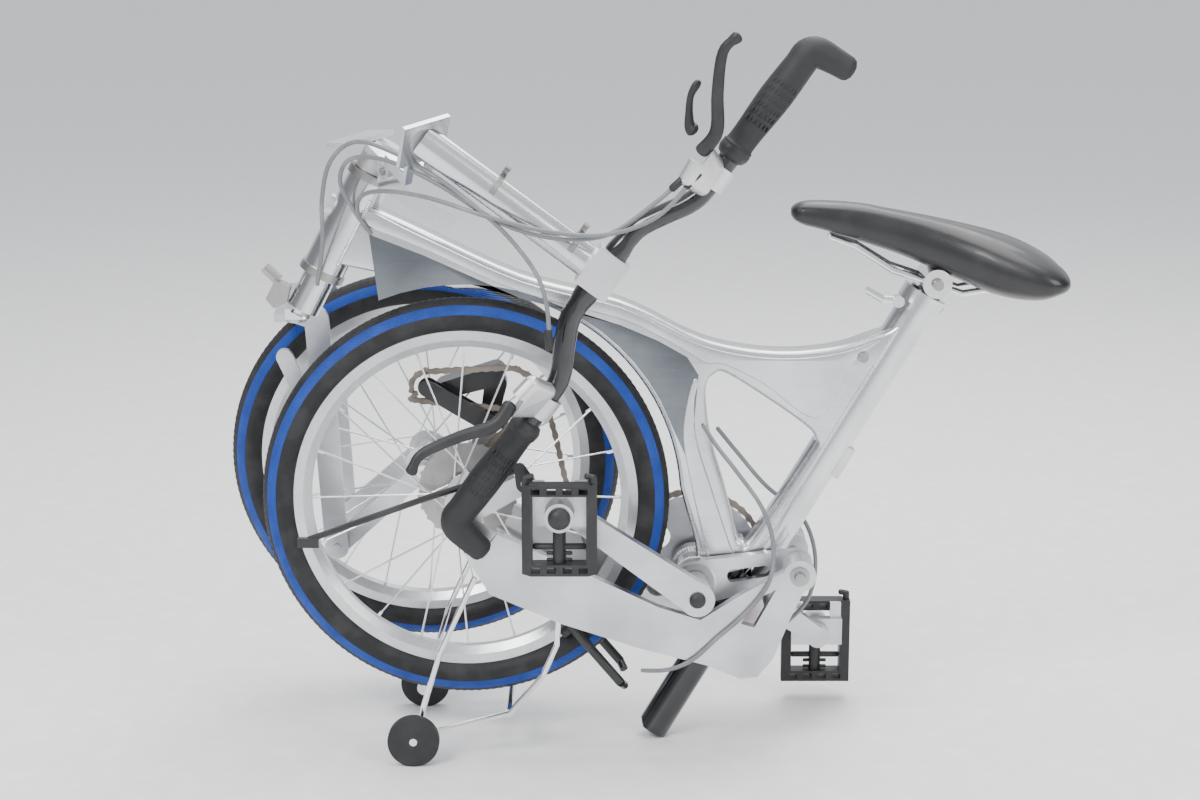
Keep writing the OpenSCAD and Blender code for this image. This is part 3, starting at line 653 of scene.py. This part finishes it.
FRAME_OUTLINE_TAIL = [
    (92, 250), (101, 214), (104, 182), (150, 190), (169, 200), (312, 443), (292, 446), (250, 432),
    (207, 426), (165, 427), (124, 434), (90, 446), (20, 480), (-82, 507), (-190, 557), (-247, 583),
]
FRAME_WINDOW = [
    (110, 386), (119, 402), (132, 402), (176, 374), (216, 345), (224, 332), (220, 318), (160, 226),
    (151, 222), (144, 230), (131, 281), (116, 333),
]


def frame_outline():
    arc = []
    for k in range(29):
        turn = math.radians(92 - 88 * k / 28)
        arc.append((REAR_AXLE.x + 225 * math.cos(turn), REAR_AXLE.z + 225 * math.sin(turn)))
    return [(-284, 520), *arc, *rounded_run(FRAME_OUTLINE_TAIL)]


def rounded_run(loop, closed=False):
    """The same outline with more points, so that it bends instead of turning corners."""
    path = flow([(x, 0, z) for x, z in loop], 5, closed)
    return [(p.x, p.z) for p in path]


class BICYCLE_OT_frame(bpy.types.Operator):
    """Makes the pressed main frame with its rounded edges, ridge and welds"""

    bl_idname = "bicycle.frame"
    bl_label = "Main frame"

    def execute(self, context):
        shell = rounded_plate("frame_shell", frame_outline(), [rounded_run(FRAME_WINDOW, True)[::-1]],
                              -19, 19, 6.5)
        settle(shell, "frame", "frame_alloy", "polished_alloy", "main_frame")
        self.ridges()
        self.welds()
        return {"FINISHED"}

    def ridges(self):
        """The raised upper face of the beam and the strut down to the bottom bracket, and below them on each
        side a face in dark alloy that is painted reflection.
        """
        beam = [(-262, 566), (-240, 575), (-190, 551), (-82, 501), (20, 474), (88, 441), (124, 428),
                (165, 421), (207, 420), (250, 426), (290, 439), (262, 415), (226, 356), (170, 392),
                (128, 413), (110, 414), (90, 426), (60, 443), (20, 461), (-82, 489), (-180, 534),
                (-246, 560)]
        strut = [(94, 392), (102, 396), (98, 372), (101, 333), (117, 280), (136, 222), (141, 206),
                 (116, 203), (105, 240), (94, 290), (86, 340)]
        lower = [(REAR_AXLE.x + 231 * math.cos(a), REAR_AXLE.z + 231 * math.sin(a))
                 for a in (math.radians(112 - 6 * k) for k in range(15))]
        reflection_outline = [*lower, (96, 300), (98, 352), (102, 402), (90, 421), (60, 438), (20, 455), (-82, 483),
                (-180, 527), (-236, 549)]
        for side, name in ((-1, "left"), (1, "right")):
            low, high = sorted((side * 16, side * 20.4))
            raised = [rounded_plate("panel", rounded_run(loop, True), [], low, high, 2.0)
                      for loop in (beam, strut)]
            settle(joined("frame_panel_" + name, raised), "frame", "frame_alloy", "polished_alloy")
            # The lower face between the beam and the arc is given dark alloy as a painted reflection of dark
            # surroundings; the thin plate itself has the same metal as the frame.
            low, high = sorted((side * 16, side * 19.35))
            face = rounded_plate("frame_face_" + name, reflection_outline, [], low, high, 0.3)
            settle(face, "frame", "shaded_alloy", "polished_alloy")

    def welds(self):
        lines = []
        for side in (-1, 1):
            foot = SEAT_TOP - UP_SEAT * 292 - Vector((UP_SEAT.z, 0, -UP_SEAT.x)) * 8
            top = SEAT_TOP - UP_SEAT * 34 - Vector((UP_SEAT.z, 0, -UP_SEAT.x)) * 8
            lines.append((foot, top, side * 18.6, 86))
            low = HEAD_LOW + UP_HEAD * 14 + BACK_HEAD * 12
            high = HEAD_LOW + UP_HEAD * 86 + BACK_HEAD * 12
            lines.append((low, high, side * 18.8, 26))
        made = []
        for start, end, across, copies in lines:
            path = [(start.x, across, start.z), (end.x, across, end.z)]
            made.append(laid_along("weld", path, bead(2.6, 2.3), copies, "cast_alloy", metres()))
        seam = [(BOTTOM_BRACKET + Vector((23 * math.cos(a), 0, 23 * math.sin(a))))
                for a in (math.radians(20 + 12 * k) for k in range(12))]
        for across in (-18.5, 18.5):
            path = [(p.x, across, p.z) for p in seam]
            made.append(laid_along("weld", path, bead(2.4, 2.0), 18, "cast_alloy", metres()))
        settle(joined("frame_welds", made), "frame", "cast_alloy", "polished_alloy")


class BICYCLE_OT_tyres(bpy.types.Operator):
    """Makes both tyres, with their tread blocks and spoke nipples"""

    bl_idname = "bicycle.tyres"
    bl_label = "Tyres"

    def execute(self, context):
        tread = context.scene.bicycle_sizes.tread
        for wheel, matrix in (("front", FRONT_WHEEL), ("rear", REAR_WHEEL)):
            self.tyre(wheel, matrix)
            rows = []
            for across, reach in ((-6.5, 212.2), (6.5, 212.2), (-2.2, 213.5), (2.2, 213.5)):
                rows.append(laid_along("tread", circle_path(reach, across), block((4.2, 3.0, 1.2), 0.3),
                                       tread, "tyre_rubber", matrix, True))
            knobs = joined(wheel + "_tread", rows)
            settle(knobs, wheel + "_wheel", "black_plastic", "tyre_rubber")
            ends = laid_along("nipples", circle_path(159.5), block((3.2, 3.2, 8), 1.0), 20,
                              "bright_steel", matrix, True)
            settle(ends, wheel + "_wheel", "bright_steel", "plain_steel")
            ends.name = wheel + "_nipples"
        return {"FINISHED"}

    def tyre(self, wheel, matrix):
        around, across = 160, 28
        points, faces, uvs = [], [], []
        for i in range(around):
            turn = i / around * math.tau
            for j in range(across):
                bend = j / across * math.tau - math.pi
                reach = TYRE_CENTRE + TYRE_SECTION * math.cos(bend)
                if reach < 180:
                    reach = 180
                points.append((reach * math.cos(turn), TYRE_SECTION * math.sin(bend) * 0.99,
                               reach * math.sin(turn)))
        for i in range(around):
            for j in range(across):
                k = (j + 1) % across
                m = (i + 1) % around
                faces.append([i * across + j, i * across + k, m * across + k, m * across + j])
                low, high = i / around, (i + 1) / around
                uvs += [(low, j / across), (low, (j + 1) / across), (high, (j + 1) / across),
                        (high, j / across)]
        made = piece_from(wheel + "_tyre_cover", placed(points, matrix), faces, uvs=uvs)
        settle(made, wheel + "_wheel", "tyre_rubber", "tyre_rubber", wheel + "_tyre")


class BICYCLE_OT_chain(bpy.types.Operator):
    """Lays the chain's links along its path and cuts the teeth of its wheels"""

    bl_idname = "bicycle.chain"
    bl_label = "Chain"

    def execute(self, context):
        chain = laid_along("chain_links", flow(self.path(), 4, True), self.link(),
                           context.scene.bicycle_sizes.links, "chain_steel", metres(), True)
        settle(chain, "frame", "chain_steel", "plain_steel", "chain")
        ring_teeth = laid_along(
            "chainring_teeth", circle_path(73.2, CHAIN_LINE), block((5.2, 1.8, 4.6), 0.6), 38, "arm_alloy",
            metres() @ Matrix.Translation(BOTTOM_BRACKET), True)
        settle(ring_teeth, "crankset", "arm_alloy", "crank_alloy")
        rows = []
        for i in range(8):
            reach = 52 - i * 32 / 7
            rows.append(laid_along("cogs", circle_path(reach, 27 + 4 * i), block((4.5, 1.6, 3.6), 0.5),
                                   int(reach / 2.02), "plain_steel", REAR_WHEEL, True))
        settle(joined("cassette_teeth", rows), "rear_wheel", "plain_steel", "plain_steel")
        return {"FINISHED"}

    def path(self):
        def round_about(centre, reach, start, end, steps):
            return [centre + Vector((reach * math.cos(a), 0, reach * math.sin(a)))
                    for a in (math.radians(start + (end - start) * i / steps) for i in range(steps + 1))]

        slack = [(20, 165), (11, 158), (1, 160), (-7, 172), (-14, 198), (-24, 232), (-36, 268),
                 (-50, 330), (-66, 376), (-82, 390), (-100, 395)]
        run = round_about(BOTTOM_BRACKET, CHAIN_RADIUS, -78, 184, 24)
        run += [Vector((x, 0, z)) for x, z in slack]
        run += round_about(TENSION_PULLEY, PULLEY_RADIUS, 80, 235, 6)
        run += round_about(GUIDE_PULLEY, PULLEY_RADIUS, 60, -60, 5)
        run += round_about(REAR_AXLE, COG_RADIUS, 75, 262, 8)
        run += round_about(BOTTOM_BRACKET, CHAIN_RADIUS, -118, -89, 3)
        return [p + Vector((0, CHAIN_LINE, 0)) for p in run]

    def link(self):
        """Two waisted plates and a roller, one pitch long."""
        edit = bmesh.new()
        waist = [(-6.4, 0), (-5.2, 3.4), (0, 2.3), (5.2, 3.4), (6.4, 0), (5.2, -3.4), (0, -2.3),
                 (-5.2, -3.4)]
        for across in (-2.3, 1.5):
            low = [edit.verts.new((x, across, z)) for x, z in waist]
            high = [edit.verts.new((x, across + 0.9, z)) for x, z in waist]
            edit.faces.new(low)
            edit.faces.new(high[::-1])
            for i in range(8):
                k = (i + 1) % 8
                edit.faces.new((low[k], low[i], high[i], high[k]))
        turned = Matrix.Rotation(math.pi / 2, 4, "X")
        bmesh.ops.create_cone(edit, cap_ends=True, segments=8, radius1=2.2, radius2=2.2, depth=5.2,
                              matrix=Matrix.Translation((-5.0, 0, 0)) @ turned)
        bmesh.ops.recalc_face_normals(edit, faces=edit.faces)
        return shape_from(edit, "link")


class BICYCLE_OT_saddle(bpy.types.Operator):
    """Makes the padded saddle with its covered skirt"""

    bl_idname = "bicycle.saddle"
    bl_label = "Saddle"

    STATIONS = [
        (196, 573, 566, 6), (200, 577, 561, 13), (210, 580.5, 556, 17), (230, 581, 551, 20),
        (262, 579, 541, 22), (300, 573, 529, 26), (335, 566, 515, 33), (370, 558, 500, 45),
        (400, 550, 488, 60), (425, 542, 483, 71), (447, 532, 483, 77), (464, 522, 489, 74),
        (474, 514, 494, 62), (478, 509, 498, 44),
    ]

    def execute(self, context):
        sides = 40
        rows = flow([Vector((x, 0, 0)) for x, *_ in self.STATIONS], 4)
        tops = flow([Vector((t, b, w)) for _, t, b, w in self.STATIONS], 4)
        points, faces = [], []
        for spot, (top, bottom, wide) in zip(rows, tops):
            for j in range(sides):
                turn = j / sides * math.tau
                c, s = math.cos(turn), math.sin(turn)
                across = math.copysign(abs(c) ** 0.72, c) * wide
                middle = bottom + (top - bottom) * 0.42
                if s > 0:
                    height = middle + (top - middle) * abs(s) ** 0.8
                else:
                    height = middle - (middle - bottom) * abs(s) ** 0.55
                    across *= 1 - 0.16 * abs(s)
                dip = 2.2 * math.exp(-(across / 9) ** 2) if s > 0 and spot.x > 290 else 0
                points.append((spot.x, across, height - dip))
        count = len(rows)
        for i in range(count - 1):
            for j in range(sides):
                k = (j + 1) % sides
                faces.append([i * sides + j, i * sides + k, (i + 1) * sides + k, (i + 1) * sides + j])
        faces += [list(range(sides)), [(count - 1) * sides + j for j in range(sides)]]
        made = piece_from("saddle_pad", placed(points, metres()), faces)
        smooth = made.modifiers.new("soften", "SUBSURF")
        smooth.levels = smooth.render_levels = 1
        settle(made, "seat", "saddle_cover", "saddle_cover", "saddle")
        return {"FINISHED"}


class BICYCLE_OT_handlebar(bpy.types.Operator):
    """Makes the bent handlebar, the grips with their horns and the levers"""

    bl_idname = "bicycle.handlebar"
    bl_label = "Handlebar"

    def execute(self, context):
        high = POST_LENGTH + BAR_RISE
        half = [(0, 0, POST_LENGTH), (0, 40, POST_LENGTH), (0, 60, POST_LENGTH + 3),
                (0, 84, POST_LENGTH + 15),
                (0, 108, high - 4), (0, 130, high), (0, 200, high), (0, BAR_HALF - 6, high)]
        bar = [(x, -y, z) for x, y, z in half[:0:-1]] + half
        run = flow(bar, 6)
        radii = [13 - 2 * min(1, max(0, (abs(p.y) - 26) / 14)) for p in run]
        settle(tube("handlebar_tube", run, radii, POST, 24), "handlepost", "bar_black", "black_alloy",
               "handlebar")
        for side, name in ((-1, "left"), (1, "right")):
            self.grip(name, side, high)
            self.brake_lever(name, side)
        pod = tube("shifter", flow([(-24, 168, POST_LENGTH - 16), (-25, 172, POST_LENGTH - 23),
                                    (-28, 192, POST_LENGTH - 37), (-30, 208, POST_LENGTH - 40)], 6),
                   [8, 8, 8, 7.5, 7, 6.5, 6, 5.5, 5, 4.6, 4.4, 4.2, 4.2, 4.3, 4.6, 5, 5.2, 5, 4.4], POST, 14,
                   (1, 0.7))
        settle(pod, "shift_lever", "black_plastic", "black_plastic", "shift_lever")
        return {"FINISHED"}

    def grip(self, name, side, high):
        line = [(0, side * y, high) for y in (174, 180, 184, 200, 220, 240, 260, 280, 292)]
        line += [(0, side * (BAR_HALF + 3), high + 7), (0, side * (BAR_HALF + 6), high + 22),
                 (0, side * (BAR_HALF + 8), high + 40)]
        shape = [15.2, 16.2, 14.6, 14.8, 16.0, 16.8, 16.4, 15.6, 15.8, 15.4, 13.8, 12.6]
        path = flow(line, 4)
        radii = [p.x for p in flow([(r, 0, 0) for r in shape], 4)]
        made = tube(name + "_grip_cover", path, radii, POST, 28)
        settle(made, "handlepost", "grip_rubber", "grip_rubber", name + "_grip")
        rows = []
        for turn in range(-3, 4):
            reach, angle = 16.4, math.radians(180 + turn * 16)
            x, z = reach * math.cos(angle), high + reach * math.sin(angle)
            for y in range(208, 262, 9):
                rows.append(tube("rib", [(x, side * y, z), (x, side * (y + 4), z)], 1.1, POST, 6))
        settle(joined(name + "_grip_ribs", rows), "handlepost", "grip_rubber", "grip_rubber")
        cap = tube("collar", [(0, side * 172, high), (0, side * 177, high)], 16.6, POST, 28)
        cap.name = name + "_grip_collar"
        settle(cap, "handlepost", "black_plastic", "black_plastic")

    def brake_lever(self, name, side):
        path = flow([(-33, side * 158, POST_LENGTH + 3), (-38, side * 182, POST_LENGTH + 2),
                     (-43, side * 212, POST_LENGTH - 20), (-51, side * 246, POST_LENGTH - 40),
                     (-54, side * 266, POST_LENGTH - 38)], 6)
        radii = [7.5 - 3.0 * i / (len(path) - 1) for i in range(len(path))]
        radii[-4:] = [4.8, 5.4, 5.9, 6.0]
        made = tube(name + "_brake_blade", path, radii, POST, 16, (0.75, 1.0), (1, 0, 0))
        body = name + "_brake_lever"
        settle(made, body, "black_plastic", "black_plastic", body)


class BICYCLE_OT_cables(bpy.types.Operator):
    """Runs the brake and shift cables from the levers to the frame and the rear arm"""

    bl_idname = "bicycle.cables"
    bl_label = "Cables"

    def execute(self, context):
        radius = context.scene.bicycle_sizes.cable
        routes = {
            "left_brake_cable": [(-50, -128, 458), (-52, -126, 492), (-62, -122, 525), (-88, -118, 560),
                                 (-118, -114, 588), (-160, -100, 618), (-205, -76, 640), (-244, -54, 648),
                                 (-270, -46, 628), (-280, -44, 590), (-281, -40, 545), (-288, -36, 500)],
            "right_brake_cable": [(78, -126, 618), (48, -124, 592), (10, -122, 566), (-30, -119, 560),
                                  (-70, -117, 566), (-106, -114, 580), (-160, -100, 612), (-212, -74, 632),
                                  (-250, -50, 630), (-262, -38, 606), (-250, -30, 576), (-234, -20, 550)],
            "gear_cable": [(92, -126, 622), (56, -128, 584), (6, -128, 566), (-50, -122, 568),
                           (-110, -117, 582), (-168, -100, 598), (-214, -66, 600), (-240, -42, 592),
                           (-246, -30, 574), (-238, -20, 554)],
        }
        for name, route in routes.items():
            made = tube(name, flow(route, 8), radius, metres(), 12)
            settle(made, None, "cable_sleeve", "cable_sleeve",
                   *(("cables",) if name == "gear_cable" else ()))
            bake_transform(made)
        rear = {
            "rear_brake_cable": [(108, -22, 348), (120, -50, 334), (140, -72, 312), (166, -77, 275),
                                 (178, -77, 236), (174, -77, 196), (152, -77, 164), (122, -77, 136),
                                 (96, -77, 112), (70, -74, 100), (44, -62, 95)],
            "rear_gear_cable": [(124, 20, 336), (146, 24, 308), (176, 27, 272), (216, 27, 236),
                                (231, 28, 192), (226, 34, 146), (206, 44, 116), (186, 52, 98)],
        }
        for name, route in rear.items():
            made = tube(name, flow(route, 8), radius, metres(), 12)
            settle(made, None, "cable_sleeve", "cable_sleeve")
            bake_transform(made)
        stops = [tube("stop", [p, q], 3.9, metres(), 14) for p, q in (
            ((-50, -128, 452), (-51, -127, 470)), ((82, -126, 622), (70, -126, 611)),
            ((96, -126, 626), (84, -126, 613)))]
        settle(joined("cable_adjusters", stops), "handlepost", "black_plastic", "black_plastic")
        return {"FINISHED"}


class BICYCLE_OT_hardware(bpy.types.Operator):
    """Makes the screws, the crank caps and the webs of the pedal cages"""

    bl_idname = "bicycle.hardware"
    bl_label = "Hardware"

    def execute(self, context):
        self.screws()
        reach = Vector((math.cos(CRANK_TURN), 0, math.sin(CRANK_TURN))) * CRANK_LENGTH
        for side, name in ((-1, "left"), (1, "right")):
            pedal = BOTTOM_BRACKET - reach * side
            self.cage_webs(name, side, pedal)
            self.caps(name, side, pedal)
        return {"FINISHED"}

    def cage_webs(self, name, side, pedal):
        """A stem, a cross web and two hooked ends inside the black cage."""
        y = side * 121
        webs = []
        for (x0, z0), (x1, z1), wide in (((0, -18), (0, -54), 7.5), ((-25, -33), (25, -33), 3.4),
                                         ((-34, 30), (-34, 39), 4.2), ((34, 30), (34, 39), 4.2),
                                         ((-34, 39), (-27, 40), 3.2), ((34, 39), (27, 40), 3.2)):
            webs.append(tube("web", [(pedal.x + x0, y, pedal.z + z0), (pedal.x + x1, y, pedal.z + z1)],
                             wide, metres(), 12, (1, 0.8)))
        for z in (-40, -47):
            webs.append(tube("rib", [(pedal.x - 12, y, pedal.z + z), (pedal.x + 12, y, pedal.z + z)],
                             2.0, metres(), 10))
        settle(joined(name + "_cage_webs", webs), name + "_cage", "black_plastic", "black_plastic")

    def caps(self, name, side, pedal):
        knob = tube("knob", [(pedal.x, side * 134, pedal.z), (pedal.x, side * 138, pedal.z)], 11.5,
                    metres(), 28)
        settle(knob, name + "_pedal", "black_plastic", "rim_alloy")
        knob.name = name + "_pedal_cap"
        cap = tube("cap", [(BOTTOM_BRACKET.x, side * 94.0, BOTTOM_BRACKET.z),
                           (BOTTOM_BRACKET.x, side * 96.0, BOTTOM_BRACKET.z)], 8.5, metres(), 28)
        cap.name = name + "_crank_cap"
        settle(cap, "crankset", "black_plastic", "crank_alloy")

    def screws(self):
        bolts = []
        for x, across, z in ((272, -21.5, 421), (206, -79.5, 201), (100, -95.5, 182), (-122, 91.5, 322),
                             (345, -37, 499), (206, 77.5, 201)):
            bolts.append(laid_along("bolt", [(x - 0.01, across, z), (x + 0.01, across, z)],
                                    bolt_head(6.0, 5.0), 1, "plain_steel", metres()))
        groups = {"frame": [0, 2], "swingarm": [1, 3, 5], "seat": [4]}
        for body, members in groups.items():
            settle(joined(body + "_screws", [bolts[i] for i in members]), body, "plain_steel",
                   "plain_steel")


class BICYCLE_OT_studio(bpy.types.Operator):
    """Sets the pale floor, the soft lights and the camera"""

    bl_idname = "bicycle.studio"
    bl_label = "Studio"

    def execute(self, context):
        size = 40.0
        corners = [(-size, -size, 0), (size, -size, 0), (size, size, 0), (-size, size, 0)]
        floor = piece_from("floor", corners, [[0, 1, 2, 3]])
        floor.data.materials.append(finish("floor_paint"))
        self.lights()
        self.camera(context)
        return {"FINISHED"}

    def lights(self):
        target = at(20, 0, 350)
        for name, place, energy, size in (
            ("key", (-1.6, -2.2, 2.6), 88, 1.2), ("fill", (2.2, -1.9, 1.7), 40, 1.6),
            ("top", (0.2, 0.2, 3.0), 70, 2.0), ("rim", (0.6, 1.6, 2.4), 34, 1.4)):
            lamp = bpy.data.lights.new(name, "AREA")
            lamp.energy, lamp.size = energy, size
            holder = bpy.data.objects.new(name, lamp)
            holder.location = place
            holder.rotation_euler = (target - Vector(place)).to_track_quat("-Z", "Y").to_euler()
            bpy.context.scene.collection.objects.link(holder)
        world = bpy.data.worlds.new("studio")
        world.use_nodes = True
        nodes, join = world.node_tree.nodes, world.node_tree.links.new
        sky = nodes["Background"]
        sky.inputs[1].default_value = 1.0
        ways = nodes.new("ShaderNodeTexCoord")
        parts = nodes.new("ShaderNodeSeparateXYZ")
        away = nodes.new("ShaderNodeMath")
        away.operation = "ABSOLUTE"
        band = nodes.new("ShaderNodeValToRGB")
        band.color_ramp.elements[0].position, band.color_ramp.elements[1].position = 0.62, 0.86
        band.color_ramp.elements[0].color = (0.93, 0.95, 1.0, 1)
        band.color_ramp.elements[1].color = (0.30, 0.31, 0.33, 1)
        join(ways.outputs["Generated"], parts.inputs[0])
        join(parts.outputs["X"], away.inputs[0])
        join(away.outputs[0], band.inputs[0])
        join(band.outputs[0], sky.inputs[0])
        bpy.context.scene.world = world

    def camera(self, context):
        lens = bpy.data.cameras.new("camera")
        lens.angle = math.radians(27.8)
        holder = bpy.data.objects.new("camera", lens)
        tilt, reach = math.radians(13), 2.534
        target = at(0, 0, 371)
        holder.location = target + Vector((0, -math.cos(tilt), math.sin(tilt))) * reach
        holder.rotation_euler = (math.pi / 2 - tilt, 0, 0)
        context.scene.collection.objects.link(holder)
        context.scene.camera = holder


class BICYCLE_PT_panel(bpy.types.Panel):
    """Lists the sizes, the colours and the steps"""

    bl_idname = "BICYCLE_PT_panel"
    bl_label = "Folded bicycle"
    bl_space_type = "VIEW_3D"
    bl_region_type = "UI"
    bl_category = "Bicycle"

    def draw(self, context):
        for group in (context.scene.bicycle_finishes, context.scene.bicycle_sizes):
            for name in group.__annotations__:
                self.layout.prop(group, name)
        for step in STEPS:
            self.layout.operator(step.bl_idname)


STEPS = (
    BICYCLE_OT_finishes,
    BICYCLE_OT_studio,
    BICYCLE_OT_frame,
    BICYCLE_OT_tyres,
    BICYCLE_OT_chain,
    BICYCLE_OT_saddle,
    BICYCLE_OT_handlebar,
    BICYCLE_OT_cables,
    BICYCLE_OT_hardware,
)
CLASSES = (BicycleFinishes, BicycleSizes, *STEPS, BICYCLE_PT_panel)


def register():
    for made in CLASSES:
        bpy.utils.register_class(made)
    bpy.types.Scene.bicycle_finishes = PointerProperty(type=BicycleFinishes)
    bpy.types.Scene.bicycle_sizes = PointerProperty(type=BicycleSizes)


def unregister():
    del bpy.types.Scene.bicycle_sizes
    del bpy.types.Scene.bicycle_finishes
    for made in reversed(CLASSES):
        bpy.utils.unregister_class(made)


def main():
    register()
    for step in STEPS:
        group, name = step.bl_idname.split(".")
        getattr(getattr(bpy.ops, group), name)()


if __name__ == "__main__":
    main()
